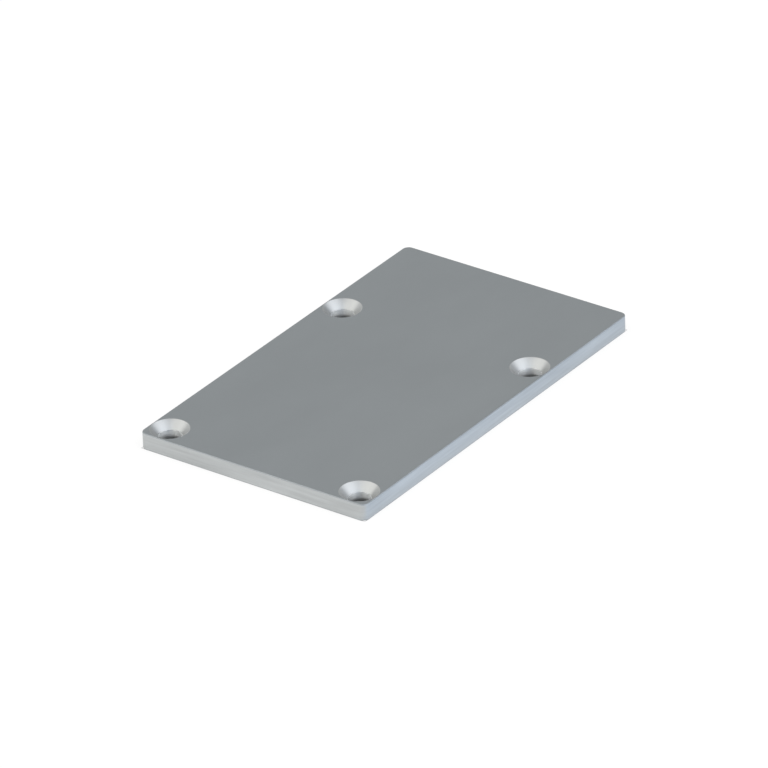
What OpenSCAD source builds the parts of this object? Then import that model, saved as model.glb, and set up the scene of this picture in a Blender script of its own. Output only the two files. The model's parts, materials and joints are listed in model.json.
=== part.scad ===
// Flat end plate that closes the end of an extruded tube or channel.
// One plate of aluminium with softened corners and edges and four countersunk
// screw holes. It lies on its back face, the face that meets the tube.
// X runs along the short sides, Y along the long ones, Z out of the front face.

/* [Plate] */
// Length of the short sides
plate_w = 60; // [50:1:120]
// Length of the long sides
plate_l = 100; // [85:1:200]
// Thickness between the back and the front face
plate_t = 4; // [3:0.25:8]
// Radius of the four upright corners
corner_r = 1.6; // [0.5:0.1:4]
// Width of the small bevel along the edges of both faces
edge_break = 0.2; // [0.05:0.05:0.4]

/* [Screw holes] */
// Diameter of the straight part, clear of the screw's shank
bore_d = 5.3; // [3:0.1:6.5]
// Diameter of the countersink where it meets the front face
csk_d = 8.9; // [7:0.1:11]
// Included angle of the countersink
csk_angle = 90; // [82:1:100]
// Metal left between a countersink's rim and the sides of the plate
rim_land = 0.25; // [0.2:0.05:8]
// Distance between the near pair of holes and the far pair
pair_pitch = 64; // [20:1:70]

/* [Hidden] */
$fn = 96;

// How far a cutting tool runs past the face that it opens
run_out = 1;

// Centres of the corner radii
corner_x = plate_w / 2 - corner_r;
corner_y = plate_l / 2 - corner_r;

// The holes sit as near to the sides as their countersinks allow
hole_inset = csk_d / 2 + rim_land;
hole_x = plate_w / 2 - hole_inset;
near_y = -plate_l / 2 + hole_inset;
far_y = near_y + pair_pitch;

// The countersink grows by this much in radius for each unit of height
csk_slope = tan(csk_angle / 2);
csk_depth = (csk_d - bore_d) / 2 / csk_slope;

// Half of a section through the plate, from its middle out to a side that is
// half_width away, with both edges bevelled
module half_section(half_width) {
    polygon([
        [0, 0],
        [half_width - edge_break, 0],
        [half_width, edge_break],
        [half_width, plate_t - edge_break],
        [half_width - edge_break, plate_t],
        [0, plate_t]
    ]);
}

// Whole section through the plate, seen along one of its long directions
module section(half_width) {
    half_section(half_width);
    mirror([1, 0, 0]) half_section(half_width);
}

// Slab between the short sides, as wide as the plate and free of its corners
module lengthwise_slab() {
    rotate([90, 0, 0])
        linear_extrude(height = 2 * corner_y, center = true)
            section(plate_w / 2);
}

// Slab between the long sides, as long as the plate and free of its corners
module crosswise_slab() {
    rotate([90, 0, 90])
        linear_extrude(height = 2 * corner_x, center = true)
            section(plate_l / 2);
}

// Round corners, turned from the same bevelled edge as the sides
module corners() {
    for (x = [-corner_x, corner_x], y = [-corner_y, corner_y])
        translate([x, y, 0])
            rotate_extrude()
                half_section(corner_r);
}

// Plate before its holes are made
module blank() {
    lengthwise_slab();
    crosswise_slab();
    corners();
}

// Tool that makes one hole: a drill with the countersink's cone above it
module countersunk_hole() {
    translate([0, 0, -run_out])
        cylinder(d = bore_d, h = plate_t + run_out);
    translate([0, 0, plate_t - csk_depth])
        cylinder(d1 = bore_d, d2 = csk_d + 2 * run_out * csk_slope, h = csk_depth + run_out);
}

module end_plate() {
    color([0.6, 0.62, 0.63])
        difference() {
            blank();
            for (x = [-hole_x, hole_x], y = [near_y, far_y])
                translate([x, y, 0])
                    countersunk_hole();
        }
}

end_plate();
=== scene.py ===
"""Looks of a flat end plate that closes an extruded tube.

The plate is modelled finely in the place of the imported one. Its surfaces get their anodised, brushed and
turned finishes, and it lies on a plain pale floor in soft light. The file is laid out as an add-on and run
as a script.
"""

import json
import math

import bmesh
import bpy
from bpy.props import FloatProperty, FloatVectorProperty, IntProperty, PointerProperty
from mathutils import Matrix, Vector


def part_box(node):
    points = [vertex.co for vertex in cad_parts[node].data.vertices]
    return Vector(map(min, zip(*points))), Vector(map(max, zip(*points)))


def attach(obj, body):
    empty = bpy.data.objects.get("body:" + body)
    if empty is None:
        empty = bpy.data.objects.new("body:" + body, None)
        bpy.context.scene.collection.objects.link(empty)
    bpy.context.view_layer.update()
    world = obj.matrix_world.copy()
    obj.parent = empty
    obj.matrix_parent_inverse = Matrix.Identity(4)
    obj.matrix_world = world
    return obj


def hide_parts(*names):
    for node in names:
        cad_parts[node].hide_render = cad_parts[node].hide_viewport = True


bl_info = {
    "name": "Tube End Plate",
    "version": (1, 0, 0),
    "blender": (4, 5, 0),
    "location": "View3D > Sidebar > End Plate",
    "description": "Models, finishes and stages a flat tube end plate with four countersunk holes",
    "category": "Object",
}

MM = 0.001
NODE = "end_plate"
BODY = "root"

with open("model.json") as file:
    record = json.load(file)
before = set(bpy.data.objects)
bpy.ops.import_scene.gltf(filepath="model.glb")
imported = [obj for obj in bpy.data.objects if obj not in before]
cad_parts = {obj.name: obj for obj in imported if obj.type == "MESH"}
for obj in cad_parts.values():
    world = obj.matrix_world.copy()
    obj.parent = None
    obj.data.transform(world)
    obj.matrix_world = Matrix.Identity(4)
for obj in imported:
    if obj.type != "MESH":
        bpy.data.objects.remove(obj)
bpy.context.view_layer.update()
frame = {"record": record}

# The holes as the record's mounts state them
BORES = [mount for mount in frame["record"]["mounts"] if mount["kind"] == "bore"]
HOLE_CENTRES = [Vector(mount["pos_m"][:2]) for mount in BORES]
BORE_RADIUS = BORES[0]["dims"]["r_mm"] * MM
BORE_LENGTH = BORES[0]["dims"]["length_mm"] * MM

# The finishes, in the order of the plate's material slots
FACE, SIDE, COUNTERSINK, BORE = range(4)

# Spots of grain to the metre, along X, Y and Z
FACE_CLOUDS = (70, 40, 70)
FACE_PORES = (5200, 3600, 5200)
SIDE_STREAKS = (70, 70, 1500)
SIDE_PATCHES = (40, 40, 200)

# Rings to the metre in the walls of the holes
HOLE_RINGS = 2600

# Between these two lie most of the values of a noise
NOISE_SPREAD = (0.3, 0.7)

# Lowest and highest tone that each grain gives
CLOUD_TONES = (0.975, 1.02)
PORE_TONES = (0.98, 1.02)
STREAK_TONES = (0.9, 1.1)
PATCH_TONES = (0.96, 1.04)
RING_TONES = (0.9, 1.08)

# Lowest and highest roughness of each surface
FACE_ROUGHNESS = (0.46, 0.56)
SIDE_ROUGHNESS = (0.36, 0.5)
COUNTERSINK_ROUGHNESS = (0.35, 0.48)
BORE_ROUGHNESS = (0.45, 0.58)

# Depth of each grain
PORE_DEPTH = 0.004 * MM
STREAK_DEPTH = 0.006 * MM
COUNTERSINK_RING_DEPTH = 0.014 * MM
BORE_RING_DEPTH = 0.012 * MM

# The bores' level grooves, and the painted shade that darkens their walls towards the back face: its tone
# there and the heights between which it fades
BORE_GROOVES = 0.85
BORE_PAINTED_SHADE_TONE = 0.28
PAINTED_SHADE_HEIGHTS = (0.2 * MM, 1.0 * MM)

# A face lies level where its normal's part along Z is past the first, and stands upright below the second
LEVEL_NORMAL = 0.999
UPRIGHT_NORMAL = 0.1

# How far apart points may lie that count as level with each other, or as one
LEVEL_TOLERANCE = 0.01 * MM
WELD_DISTANCE = 0.0005 * MM

# Flats across the rounding of a hole's edge
RIM_STEPS = 3

# Half of the floor's side, and the gap that keeps it clear of the plate's back
FLOOR_REACH = 4.0
FLOOR_GAP = 0.01 * MM

# How far the visible floor reaches under the plate, from its sides and from the holes
FLOOR_LAP = 0.3 * MM

# Where the floor's cooler part begins, from the plate's right side and from its front
COOL_BESIDE = (-4 * MM, 4 * MM)
COOL_BEHIND = (-2 * MM, 1 * MM)

# Where the room's tones begin and end, as parts of a direction's length along X, Y or Z
WINDOW_SPREAD = (0.0, 0.8)
CEILING_SPREAD = (0.0, 0.9)
BACK_SPREAD = (-0.2, 1.0)

# Places of the Mix node's colours among its sockets
MIX_SHARE, MIX_FIRST, MIX_SECOND, MIX_RESULT = 0, 6, 7, 2

WHITE = (1.0, 1.0, 1.0)


def display(red, green, blue):
    """The linear colour that shows as these display values from 0 to 255."""
    def linear(value):
        share = value / 255
        return share / 12.92 if share <= 0.04045 else ((share + 0.055) / 1.055) ** 2.4
    return linear(red), linear(green), linear(blue)


class EndPlateSizes(bpy.types.PropertyGroup):
    """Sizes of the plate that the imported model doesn't state"""

    corner_radius: FloatProperty(
        name="Corner radius", description="Radius of the four upright corners",
        default=1.6 * MM, min=0.1 * MM, unit="LENGTH", precision=5)
    edge_round: FloatProperty(
        name="Edge round", description="Rounding along the edges of both faces",
        default=0.2 * MM, min=0.01 * MM, unit="LENGTH", precision=5)
    countersink_angle: FloatProperty(
        name="Countersink angle", description="Included angle of the countersinks",
        default=math.radians(90), min=math.radians(60), max=math.radians(120), unit="ROTATION")
    rim_round: FloatProperty(
        name="Rim round", description="Rounding of the holes' sharp edges",
        default=0.04 * MM, min=0.01 * MM, unit="LENGTH", precision=5)
    corner_steps: IntProperty(
        name="Corner steps", description="Flats that make up a corner's quarter turn",
        default=20, min=4, max=64)
    edge_steps: IntProperty(
        name="Edge steps", description="Flats across a rounded edge",
        default=4, min=1, max=8)
    hole_steps: IntProperty(
        name="Hole steps", description="Flats round a hole",
        default=128, min=24, max=256)


class EndPlateFinish(bpy.types.PropertyGroup):
    """Colours and grain of the plate's surfaces"""

    # The face's colour is darker than the sides': partly the anodised metal's own grey, partly painted
    # shade on the level faces
    face_colour_and_painted_shade: FloatVectorProperty(
        name="Face", description="Matte anodised front and back",
        subtype="COLOR", size=3, min=0, max=1, default=display(158, 162, 165))
    # The sides' colour is paler than the face's: partly the anodised metal's own grey, partly painted
    # light on the upright sides
    side_colour_and_painted_light: FloatVectorProperty(
        name="Sides", description="Brushed and anodised sides",
        subtype="COLOR", size=3, min=0, max=1, default=display(199, 201, 202))
    countersink_colour: FloatVectorProperty(
        name="Countersinks", description="Bright turned cones",
        subtype="COLOR", size=3, min=0, max=1, default=display(180, 181, 181))
    bore_colour: FloatVectorProperty(
        name="Bores", description="Drilled walls below the cones",
        subtype="COLOR", size=3, min=0, max=1, default=display(248, 249, 249))


class EndPlateStage(bpy.types.PropertyGroup):
    """Floor, light and camera round the plate"""

    camera_azimuth: FloatProperty(
        name="Camera azimuth", description="Turn of the camera round the plate, from the front towards +X",
        default=math.radians(36.62), unit="ROTATION")
    camera_elevation: FloatProperty(
        name="Camera elevation", description="Height of the camera above the horizon",
        default=math.radians(29.25), unit="ROTATION")
    camera_roll: FloatProperty(
        name="Camera roll", description="Lean of the camera about its own axis",
        default=math.radians(-2.23), unit="ROTATION")
    camera_distance: FloatProperty(
        name="Camera distance", description="From the camera to the plate's origin",
        default=1.848, min=0.1, unit="LENGTH")
    camera_lens: FloatProperty(
        name="Lens", description="Focal length in millimetres on a 36 mm sensor",
        default=395.53, min=10)
    aim_right: FloatProperty(
        name="Aim right", description="How far the plate's origin lies right of the picture's middle",
        default=0.607 * MM, unit="LENGTH", precision=6)
    aim_up: FloatProperty(
        name="Aim up", description="How far the plate's origin lies above the picture's middle",
        default=-0.929 * MM, unit="LENGTH", precision=6)
    floor_colour: FloatVectorProperty(
        name="Floor", description="Plain pale floor",
        subtype="COLOR", size=3, min=0, max=1, default=(0.9, 0.9, 0.9))
    floor_glow: FloatProperty(
        name="Floor glow", description="Share of plain white in the floor round the plate",
        default=0.78, min=0, max=1)
    # Painted shade: how far the floor's colour is darkened below a hole, for the metal and then for the
    # camera
    painted_hole_shade: FloatProperty(
        name="Floor below a hole", description="How pale the floor below a hole is for the metal",
        default=0.01, min=0, max=1)
    painted_hole_shade_seen: FloatProperty(
        name="Floor through a hole", description="How pale that floor is for the camera",
        default=0.4, min=0, max=1)
    fill_strength: FloatProperty(
        name="Fill", description="Light from all round",
        default=0.8, min=0, max=2)
    surround_colour: FloatVectorProperty(
        name="Surround", description="What the metal shows of the room",
        subtype="COLOR", size=3, min=0, max=1, default=(0.76, 0.775, 0.77))
    window_colour: FloatVectorProperty(
        name="Window side", description="The cooler side of the room, on the right",
        subtype="COLOR", size=3, min=0, max=1, default=(0.65, 0.77, 0.92))
    room_level: FloatProperty(
        name="Room", description="How bright the room's walls are in the metal",
        default=1.48, min=0, max=3)
    ceiling_level: FloatProperty(
        name="Ceiling", description="How pale the ceiling is beside the walls",
        default=0.625, min=0, max=1)
    back_level: FloatProperty(
        name="Back of the room", description="How pale the wall behind the plate is beside the front",
        default=0.68, min=0, max=1)
    left_azimuth: FloatProperty(
        name="Left lamp azimuth", description="Turn of the left lamp round the plate",
        default=math.radians(-42), unit="ROTATION")
    left_elevation: FloatProperty(
        name="Left lamp elevation", description="Height of the left lamp above the horizon",
        default=math.radians(35.5), unit="ROTATION")
    left_size: FloatProperty(
        name="Left lamp size", description="Side of the square left lamp",
        default=1.67, min=0.1, unit="LENGTH")
    left_power: FloatProperty(
        name="Left lamp power", description="Power of the left lamp, in watts",
        default=7.45, min=0)
    left_colour: FloatVectorProperty(
        name="Left lamp colour", description="Slightly warm light",
        subtype="COLOR", size=3, min=0, max=1, default=(1.0, 0.985, 0.94))
    right_azimuth: FloatProperty(
        name="Right lamp azimuth", description="Turn of the right lamp round the plate",
        default=math.radians(108.5), unit="ROTATION")
    right_elevation: FloatProperty(
        name="Right lamp elevation", description="Height of the right lamp above the horizon",
        default=math.radians(38), unit="ROTATION")
    right_size: FloatProperty(
        name="Right lamp size", description="Side of the square right lamp",
        default=1.475, min=0.1, unit="LENGTH")
    right_power: FloatProperty(
        name="Right lamp power", description="Power of the right lamp, in watts",
        default=8.5, min=0)
    right_colour: FloatVectorProperty(
        name="Right lamp colour", description="Very slightly warm light",
        subtype="COLOR", size=3, min=0, max=1, default=(1.0, 0.985, 0.97))
    top_azimuth: FloatProperty(
        name="Top lamp azimuth", description="Turn of the top lamp round the plate, between the other two",
        default=math.radians(30), unit="ROTATION")
    top_elevation: FloatProperty(
        name="Top lamp elevation", description="Height of the top lamp above the horizon",
        default=math.radians(53), unit="ROTATION")
    top_size: FloatProperty(
        name="Top lamp size", description="Side of the square top lamp",
        default=0.71, min=0.1, unit="LENGTH")
    top_power: FloatProperty(
        name="Top lamp power", description="Power of the top lamp, in watts",
        default=1.35, min=0)
    top_colour: FloatVectorProperty(
        name="Top lamp colour", description="Plain white light",
        subtype="COLOR", size=3, min=0, max=1, default=WHITE)
    lamp_distance: FloatProperty(
        name="Lamp distance", description="From each lamp to the plate",
        default=1.2, min=0.3, unit="LENGTH")


# Shaders

def add(tree, kind, inputs=None, **settings):
    """Adds a shader node; each input is a value or the socket that feeds it."""
    made = tree.nodes.new("ShaderNode" + kind)
    for name, value in settings.items():
        setattr(made, name, value)
    for name, value in (inputs or {}).items():
        if isinstance(value, bpy.types.NodeSocket):
            tree.links.new(value, made.inputs[name])
        else:
            made.inputs[name].default_value = value
    return made


def calculate(tree, operation, *values):
    """Output of a Math node with these values or sockets."""
    return add(tree, "Math", dict(enumerate(values)), operation=operation).outputs[0]


def new_material(name):
    """An empty material and its node tree."""
    material = bpy.data.materials.new(name)
    material.use_nodes = True
    material.node_tree.nodes.clear()
    return material, material.node_tree


def object_place(tree):
    """The shaded point's place in the object's own frame."""
    return add(tree, "TexCoord").outputs["Object"]


def grain(tree, place, scale, detail=2.0, roughness=0.5):
    """Noise of about so many spots to the metre along X, Y and Z."""
    stretched = add(tree, "Mapping", {"Vector": place, "Scale": scale}).outputs["Vector"]
    noise = add(tree, "TexNoise", {
        "Vector": stretched, "Scale": 1.0, "Detail": detail, "Roughness": roughness})
    return noise.outputs["Fac"]


def ranged(tree, value, low, high, over=NOISE_SPREAD):
    """Goes from low to high while the value goes over its spread, and stays there outside it."""
    start, end = over
    made = add(tree, "MapRange", {
        "Value": value, "From Min": start, "From Max": end, "To Min": low, "To Max": high})
    return made.outputs["Result"]


def metal(tree, colour, tone, roughness, bump, grooved=0.0):
    """Metal whose colour is multiplied by the tone, with the given roughness and bump sockets.

    Grooved metal has level scratches, which draw its highlights out upright.
    """
    tinted = add(tree, "HueSaturation", {"Color": (*colour, 1.0), "Value": tone}).outputs["Color"]
    shader = add(tree, "BsdfPrincipled", {
        "Base Color": tinted, "Metallic": 1.0, "Roughness": roughness, "Normal": bump,
        "Anisotropic": grooved})
    if grooved:
        upright = add(tree, "CombineXYZ", {"Z": 1.0}).outputs["Vector"]
        tree.links.new(upright, shader.inputs["Tangent"])
    add(tree, "OutputMaterial", {"Surface": shader.outputs["BSDF"]})


def bumped(tree, height, depth):
    """Normal of a surface with relief of this depth."""
    made = add(tree, "Bump", {"Height": height, "Distance": depth, "Strength": 1.0})
    return made.outputs["Normal"]


def face_finish(colour):
    """Etched and anodised face: even, matte, with a very fine grain and faint clouding."""
    material, tree = new_material("anodised_face")
    place = object_place(tree)
    clouds = grain(tree, place, FACE_CLOUDS, detail=3)
    pores = grain(tree, place, FACE_PORES, detail=3)
    cloudy = ranged(tree, clouds, *CLOUD_TONES)
    tone = calculate(tree, "MULTIPLY", cloudy, ranged(tree, pores, *PORE_TONES))
    rough = ranged(tree, pores, *FACE_ROUGHNESS)
    metal(tree, colour, tone, rough, bumped(tree, pores, PORE_DEPTH))
    return material


def side_finish(colour):
    """Brushed side: fine streaks that run along it, level with the faces."""
    material, tree = new_material("brushed_side")
    place = object_place(tree)
    streaks = grain(tree, place, SIDE_STREAKS, detail=5, roughness=0.65)
    patches = grain(tree, place, SIDE_PATCHES)
    streaky = ranged(tree, streaks, *STREAK_TONES)
    tone = calculate(tree, "MULTIPLY", streaky, ranged(tree, patches, *PATCH_TONES))
    rough = ranged(tree, streaks, *SIDE_ROUGHNESS)
    metal(tree, colour, tone, rough, bumped(tree, streaks, STREAK_DEPTH))
    return material


def from_hole_axis(tree, place):
    """Distance from the nearest hole's axis, the angle round it and the height above the back face."""
    centre_x = max(centre.x for centre in HOLE_CENTRES)
    near_y = min(centre.y for centre in HOLE_CENTRES)
    pitch = max(centre.y for centre in HOLE_CENTRES) - near_y
    axes = add(tree, "SeparateXYZ", {"Vector": place})
    across = calculate(tree, "SUBTRACT", calculate(tree, "ABSOLUTE", axes.outputs["X"]), centre_x)
    from_near = calculate(tree, "SUBTRACT", axes.outputs["Y"], near_y)
    along = calculate(tree, "WRAP", from_near, pitch / 2, -pitch / 2)
    out = calculate(tree, "SQRT", calculate(
        tree, "ADD", calculate(tree, "POWER", across, 2.0), calculate(tree, "POWER", along, 2.0)))
    turn = calculate(tree, "ARCTAN2", along, across)
    return out, turn, axes.outputs["Z"]


def turned_finish(name, colour, roughness, depth, grooved=0.0, painted_shade_tone=1.0):
    """Wall of a hole, with the fine rings that its cutter left, darkened towards the back face by painted
    shade.
    """
    material, tree = new_material(name)
    place = object_place(tree)
    out, turn, height = from_hole_axis(tree, place)
    down = calculate(tree, "SUBTRACT", out, height)
    spread = add(tree, "CombineXYZ", {
        "X": calculate(tree, "MULTIPLY", down, HOLE_RINGS),
        "Y": calculate(tree, "COSINE", turn),
        "Z": calculate(tree, "SINE", turn)}).outputs["Vector"]
    rings = add(tree, "TexNoise", {
        "Vector": spread, "Scale": 1.0, "Detail": 3.0, "Roughness": 0.6}).outputs["Fac"]
    # Painted shade: the wall's colour darkens towards the back face, where shade falls down the hole
    painted_shade_fade = ranged(tree, height, painted_shade_tone, 1.0, over=PAINTED_SHADE_HEIGHTS)
    tone = calculate(tree, "MULTIPLY", ranged(tree, rings, *RING_TONES), painted_shade_fade)
    rough = ranged(tree, rings, *roughness)
    metal(tree, colour, tone, rough, bumped(tree, rings, depth), grooved)
    return material


def plate_finishes(finish):
    """The plate's materials, in slot order."""
    return [
        face_finish(finish.face_colour_and_painted_shade),
        side_finish(finish.side_colour_and_painted_light),
        turned_finish("turned_countersink", finish.countersink_colour, COUNTERSINK_ROUGHNESS,
                      COUNTERSINK_RING_DEPTH),
        turned_finish("drilled_bore", finish.bore_colour, BORE_ROUGHNESS,
                      BORE_RING_DEPTH, BORE_GROOVES, BORE_PAINTED_SHADE_TONE),
    ]


# Shapes

def edges_along_z(bm):
    """The edges that run more upright than level."""
    return [edge for edge in bm.edges
            if abs(edge.verts[0].co.z - edge.verts[1].co.z) > edge.calc_length() / 2]


def flat_faces(bm):
    """The faces that lie level, at the front and the back."""
    return [face for face in bm.faces if abs(face.normal.z) > LEVEL_NORMAL]


def make_blank(bm, sizes):
    """Plate with round corners and softly rounded edges, and no holes."""
    low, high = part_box(NODE)
    size = high - low
    middle = Matrix.Translation((low + high) / 2)
    bmesh.ops.create_cube(bm, size=1.0, matrix=middle @ Matrix.Diagonal((*size, 1.0)))
    bmesh.ops.bevel(
        bm, geom=edges_along_z(bm), offset=sizes.corner_radius, offset_type="OFFSET",
        segments=sizes.corner_steps, profile=0.5, affect="EDGES", material=-1)
    bm.normal_update()
    outline = {edge for face in flat_faces(bm) for edge in face.edges}
    bmesh.ops.bevel(
        bm, geom=list(outline), offset=sizes.edge_round, offset_type="OFFSET",
        segments=sizes.edge_steps, profile=0.5, affect="EDGES", material=-1)
    bm.normal_update()


def spin_hole(bm, centre, sizes):
    """Wall of one hole: its section, with softened corners, spun round the hole's axis."""
    low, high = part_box(NODE)
    cone_depth = high.z - low.z - BORE_LENGTH
    rim_radius = BORE_RADIUS + cone_depth * math.tan(sizes.countersink_angle / 2)
    soft = sizes.rim_round
    section = [
        (rim_radius + 2 * soft, high.z),
        (rim_radius, high.z),
        (BORE_RADIUS, high.z - cone_depth),
        (BORE_RADIUS, low.z),
        (BORE_RADIUS + 2 * soft, low.z),
    ]
    points = [bm.verts.new((centre.x + radius, centre.y, height)) for radius, height in section]
    for pair in zip(points, points[1:]):
        bm.edges.new(pair)
    bmesh.ops.bevel(
        bm, geom=points[1:-1], offset=soft, offset_type="OFFSET", segments=RIM_STEPS, profile=0.5,
        affect="VERTICES", material=-1)
    wire = [edge for edge in bm.edges if edge.is_wire]
    ring = {vert for edge in wire for vert in edge.verts}
    bmesh.ops.spin(
        bm, geom=[*ring, *wire], cent=(centre.x, centre.y, 0.0), axis=(0.0, 0.0, 1.0),
        dvec=(0.0, 0.0, 0.0), angle=math.tau, steps=sizes.hole_steps, use_merge=True,
        use_normal_flip=False, use_duplicate=False)


def open_faces(bm, sizes):
    """Puts the holes through the blank and fills the metal between their rims and the outline."""
    level = flat_faces(bm)
    heights = [face.calc_center_median().z for face in level]
    bmesh.ops.delete(bm, geom=level, context="FACES_ONLY")
    for centre in HOLE_CENTRES:
        spin_hole(bm, centre, sizes)
    for height in heights:
        loops = [edge for edge in bm.edges if edge.is_boundary
                 and all(abs(vert.co.z - height) < LEVEL_TOLERANCE for vert in edge.verts)]
        bmesh.ops.triangle_fill(bm, use_beauty=True, use_dissolve=False, edges=loops)


def assign_finishes(bm, sizes):
    """Gives each face the slot of its finish, by where it lies; the rounded edges look like the faces.

    The faces of a hole lie near its axis and clear of the rounded edges.
    """
    low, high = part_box(NODE)
    shoulder = low.z + BORE_LENGTH
    for face in bm.faces:
        middle = face.calc_center_median()
        from_axis = min((middle.xy - centre).length for centre in HOLE_CENTRES)
        from_side = min(high.x - abs(middle.x), high.y - abs(middle.y))
        in_hole = from_axis < 2 * BORE_RADIUS and from_side > 1.05 * sizes.edge_round
        slope = abs(face.normal.z)
        # The rounded edges take the face's finish, and with it the face's painted shade
        if slope > LEVEL_NORMAL or (slope > UPRIGHT_NORMAL and not in_hole):
            face.material_index = FACE
        elif not in_hole:
            face.material_index = SIDE
        elif middle.z > shoulder:
            face.material_index = COUNTERSINK
        else:
            face.material_index = BORE
        face.smooth = True


class ENDPLATE_OT_plate(bpy.types.Operator):
    """Models the plate with its four countersunk holes and gives it its finishes"""

    bl_idname = "endplate.plate"
    bl_label = "End Plate"

    def execute(self, context):
        sizes = context.scene.end_plate_sizes
        bm = bmesh.new()
        make_blank(bm, sizes)
        open_faces(bm, sizes)
        bmesh.ops.remove_doubles(bm, verts=bm.verts, dist=WELD_DISTANCE)
        bmesh.ops.recalc_face_normals(bm, faces=bm.faces)
        bm.normal_update()
        assign_finishes(bm, sizes)
        mesh = bpy.data.meshes.new("finished_plate")
        bm.to_mesh(mesh)
        bm.free()
        for material in plate_finishes(context.scene.end_plate_finish):
            mesh.materials.append(material)
        plate = bpy.data.objects.new("finished_plate", mesh)
        context.scene.collection.objects.link(plate)
        shading = plate.modifiers.new("flat_faces_stay_flat", "WEIGHTED_NORMAL")
        shading.mode = "FACE_AREA"
        shading.weight = 100
        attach(plate, BODY)
        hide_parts(NODE)
        return {"FINISHED"}


# Stage

def mixed_colour(tree, share, first, second):
    """Colour that goes from the first to the second with the share; each is a socket or a plain colour."""
    made = add(tree, "Mix", data_type="RGBA", clamp_result=False)
    tree.links.new(share, made.inputs[MIX_SHARE])
    for socket, value in ((made.inputs[MIX_FIRST], first), (made.inputs[MIX_SECOND], second)):
        if isinstance(value, bpy.types.NodeSocket):
            tree.links.new(value, socket)
        else:
            socket.default_value = (*value, 1.0)
    return made.outputs[MIX_RESULT]


def floor_material(stage):
    """Pale floor that keeps the plate's shadow, plain white to the camera and white in the metal.

    The metal sees its right side cooler, as the room is there. Down the holes the floor's colour is
    painted with shade: near black for the metal and dimmer for the camera.
    It is clear under the rest of the plate and from below, so that the plate's back can be seen.
    """
    material, tree = new_material("pale_floor")
    path = add(tree, "LightPath")
    seen = calculate(tree, "MAXIMUM", path.outputs["Is Camera Ray"], path.outputs["Is Glossy Ray"])
    low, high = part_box(NODE)
    place = object_place(tree)
    axes = add(tree, "SeparateXYZ", {"Vector": place})
    past = [calculate(tree, "SUBTRACT", calculate(tree, "ABSOLUTE", axes.outputs[name]), reach)
            for name, reach in (("X", high.x), ("Y", high.y))]
    beyond = calculate(tree, "MAXIMUM", *past)
    outside = ranged(tree, beyond, 0.0, 1.0, over=(-FLOOR_LAP, 0.0))
    hidden = calculate(tree, "LESS_THAN", beyond, -FLOOR_LAP)
    solid = calculate(tree, "GREATER_THAN", from_hole_axis(tree, place)[0], BORE_RADIUS + FLOOR_LAP)
    covered = calculate(tree, "MULTIPLY", hidden, solid)
    clear = calculate(tree, "MAXIMUM", covered, add(tree, "NewGeometry").outputs["Backfacing"])
    share = calculate(tree, "MULTIPLY", calculate(tree, "MULTIPLY", seen, outside), stage.floor_glow)
    # Painted shade below the holes: the floor's colour darkened there, near black for the metal and dimmer
    # for the camera
    painted_shade_for_metal = tuple(part * stage.painted_hole_shade for part in stage.floor_colour)
    painted_shade_for_camera = tuple(part * stage.painted_hole_shade_seen for part in stage.floor_colour)
    under = mixed_colour(tree, path.outputs["Is Camera Ray"], painted_shade_for_metal, painted_shade_for_camera)
    lit = add(tree, "BsdfDiffuse", {"Color": mixed_colour(tree, outside, under, stage.floor_colour)})
    from_right = calculate(tree, "SUBTRACT", axes.outputs["X"], high.x)
    from_front = calculate(tree, "SUBTRACT", axes.outputs["Y"], low.y)
    beside = ranged(tree, from_right, 0.0, 1.0, over=COOL_BESIDE)
    behind = ranged(tree, from_front, 0.0, 1.0, over=COOL_BEHIND)
    cool = calculate(tree, "MULTIPLY", beside, behind)
    room = mixed_colour(tree, cool, stage.surround_colour, stage.window_colour)
    glow = mixed_colour(tree, path.outputs["Is Camera Ray"], room, WHITE)
    white = add(tree, "Emission", {"Color": glow, "Strength": 1.0})
    mixed = add(tree, "MixShader", {0: share, 1: lit.outputs["BSDF"], 2: white.outputs["Emission"]})
    nothing = add(tree, "BsdfTransparent")
    floor = add(tree, "MixShader", {0: clear, 1: mixed.outputs["Shader"], 2: nothing.outputs["BSDF"]})
    add(tree, "OutputMaterial", {"Surface": floor.outputs["Shader"]})
    return material


def make_floor(scene, stage):
    """Flat floor just below the plate."""
    bm = bmesh.new()
    bmesh.ops.create_grid(bm, x_segments=1, y_segments=1, size=FLOOR_REACH)
    bmesh.ops.translate(bm, verts=bm.verts, vec=(0, 0, -FLOOR_GAP))
    mesh = bpy.data.meshes.new("floor")
    bm.to_mesh(mesh)
    bm.free()
    mesh.materials.append(floor_material(stage))
    floor = bpy.data.objects.new("floor", mesh)
    scene.collection.objects.link(floor)


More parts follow.
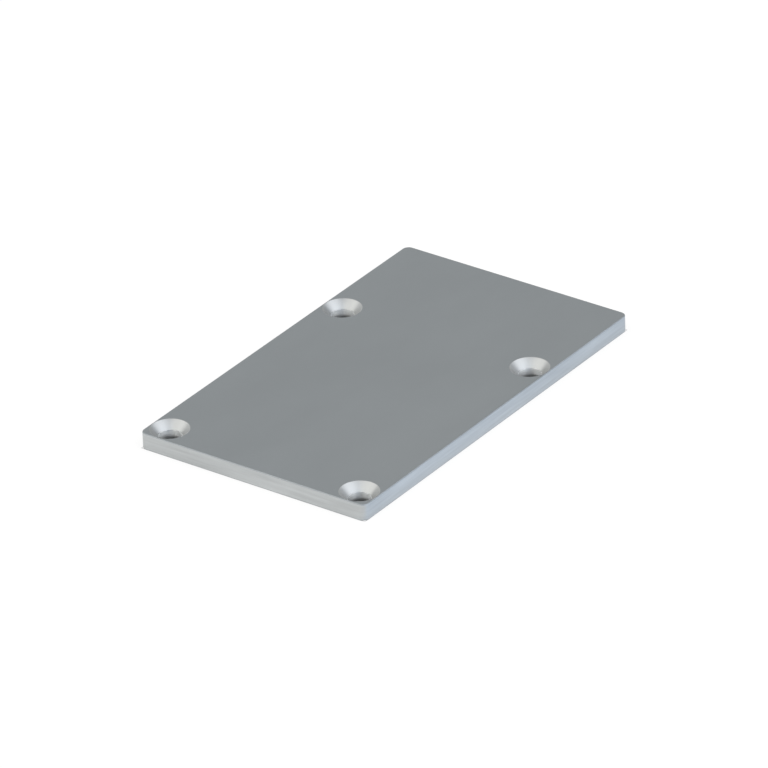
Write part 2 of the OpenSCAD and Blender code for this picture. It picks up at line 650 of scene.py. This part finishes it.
def make_world(scene, stage):
    """Even light from all round, plain white to the camera.

    The metal sees a pale room with a darker ceiling and back wall, and cooler on its right side.
    """
    world = bpy.data.worlds.new("soft_surround")
    world.use_nodes = True
    tree = world.node_tree
    tree.nodes.clear()
    path = add(tree, "LightPath")
    axes = add(tree, "SeparateXYZ", {"Vector": add(tree, "TexCoord").outputs["Generated"]})
    rightward = ranged(tree, axes.outputs["X"], 0.0, 1.0, over=WINDOW_SPREAD)
    ceiling = stage.room_level * stage.ceiling_level
    upward = ranged(tree, axes.outputs["Z"], stage.room_level, ceiling, over=CEILING_SPREAD)
    backward = ranged(tree, axes.outputs["Y"], 1.0, stage.back_level, over=BACK_SPREAD)
    level = calculate(tree, "MULTIPLY", upward, backward)
    colour = mixed_colour(tree, rightward, stage.surround_colour, stage.window_colour)
    room = add(tree, "Background", {"Color": colour, "Strength": level})
    seen = calculate(tree, "MAXIMUM", path.outputs["Is Camera Ray"], path.outputs["Is Transmission Ray"])
    light = add(tree, "Background", {"Color": (*WHITE, 1.0), "Strength": stage.fill_strength})
    white = add(tree, "Background", {"Color": (*WHITE, 1.0), "Strength": 1.0})
    glossy = path.outputs["Is Glossy Ray"]
    shiny = add(tree, "MixShader", {0: glossy, 1: light.outputs[0], 2: room.outputs[0]})
    mixed = add(tree, "MixShader", {0: seen, 1: shiny.outputs[0], 2: white.outputs[0]})
    add(tree, "OutputWorld", {"Surface": mixed.outputs["Shader"]})
    scene.world = world


def view_axes(azimuth, elevation, roll):
    """Right, up and back of a camera that looks at the plate from there."""
    reach = math.cos(elevation)
    back = Vector((math.sin(azimuth) * reach, -math.cos(azimuth) * reach, math.sin(elevation)))
    level = Vector((math.cos(azimuth), math.sin(azimuth), 0.0))
    upright = back.cross(level)
    right = level * math.cos(roll) + upright * math.sin(roll)
    up = upright * math.cos(roll) - level * math.sin(roll)
    return right, up, back


def add_lamp(scene, name, azimuth, elevation, distance, size, power, colour):
    """Square soft lamp that faces the plate from there."""
    light = bpy.data.lights.new(name, "AREA")
    light.shape = "SQUARE"
    light.size = size
    light.energy = power
    light.color = colour
    lamp = bpy.data.objects.new(name, light)
    right, up, back = view_axes(azimuth, elevation, 0.0)
    turn = Matrix((right, up, back)).transposed().to_4x4()
    lamp.matrix_world = Matrix.Translation(back * distance) @ turn
    scene.collection.objects.link(lamp)


def make_camera(scene, stage):
    """Camera with a very long lens, placed as in the photo."""
    right, up, back = view_axes(stage.camera_azimuth, stage.camera_elevation, stage.camera_roll)
    data = bpy.data.cameras.new("camera")
    data.lens = stage.camera_lens
    data.sensor_width = 36.0
    data.clip_start = 0.05
    data.clip_end = 50.0
    camera = bpy.data.objects.new("camera", data)
    turn = Matrix((right, up, back)).transposed().to_4x4()
    place = back * stage.camera_distance - right * stage.aim_right - up * stage.aim_up
    camera.matrix_world = Matrix.Translation(place) @ turn
    scene.collection.objects.link(camera)
    scene.camera = camera


class ENDPLATE_OT_stage(bpy.types.Operator):
    """Sets the floor, the soft light and the camera"""

    bl_idname = "endplate.stage"
    bl_label = "Stage"

    def execute(self, context):
        scene = context.scene
        stage = scene.end_plate_stage
        make_floor(scene, stage)
        make_world(scene, stage)
        add_lamp(scene, "left_lamp", stage.left_azimuth, stage.left_elevation, stage.lamp_distance,
                 stage.left_size, stage.left_power, stage.left_colour)
        add_lamp(scene, "right_lamp", stage.right_azimuth, stage.right_elevation, stage.lamp_distance,
                 stage.right_size, stage.right_power, stage.right_colour)
        add_lamp(scene, "top_lamp", stage.top_azimuth, stage.top_elevation, stage.lamp_distance,
                 stage.top_size, stage.top_power, stage.top_colour)
        make_camera(scene, stage)
        scene.view_settings.view_transform = "Standard"
        return {"FINISHED"}


class ENDPLATE_PT_panel(bpy.types.Panel):
    """Sizes, finishes and stage of the end plate"""

    bl_label = "End Plate"
    bl_idname = "ENDPLATE_PT_panel"
    bl_space_type = "VIEW_3D"
    bl_region_type = "UI"
    bl_category = "End Plate"

    def draw(self, context):
        scene = context.scene
        for title, group in (("Sizes", scene.end_plate_sizes), ("Finish", scene.end_plate_finish),
                             ("Stage", scene.end_plate_stage)):
            box = self.layout.box()
            box.label(text=title)
            for name in group.__annotations__:
                box.prop(group, name)
        self.layout.operator(ENDPLATE_OT_plate.bl_idname)
        self.layout.operator(ENDPLATE_OT_stage.bl_idname)


CLASSES = (
    EndPlateSizes,
    EndPlateFinish,
    EndPlateStage,
    ENDPLATE_OT_plate,
    ENDPLATE_OT_stage,
    ENDPLATE_PT_panel,
)


def register():
    for item in CLASSES:
        bpy.utils.register_class(item)
    bpy.types.Scene.end_plate_sizes = PointerProperty(type=EndPlateSizes)
    bpy.types.Scene.end_plate_finish = PointerProperty(type=EndPlateFinish)
    bpy.types.Scene.end_plate_stage = PointerProperty(type=EndPlateStage)


def unregister():
    del bpy.types.Scene.end_plate_stage
    del bpy.types.Scene.end_plate_finish
    del bpy.types.Scene.end_plate_sizes
    for item in reversed(CLASSES):
        bpy.utils.unregister_class(item)


def main():
    register()
    bpy.ops.endplate.plate()
    bpy.ops.endplate.stage()


if __name__ == "__main__":
    main()
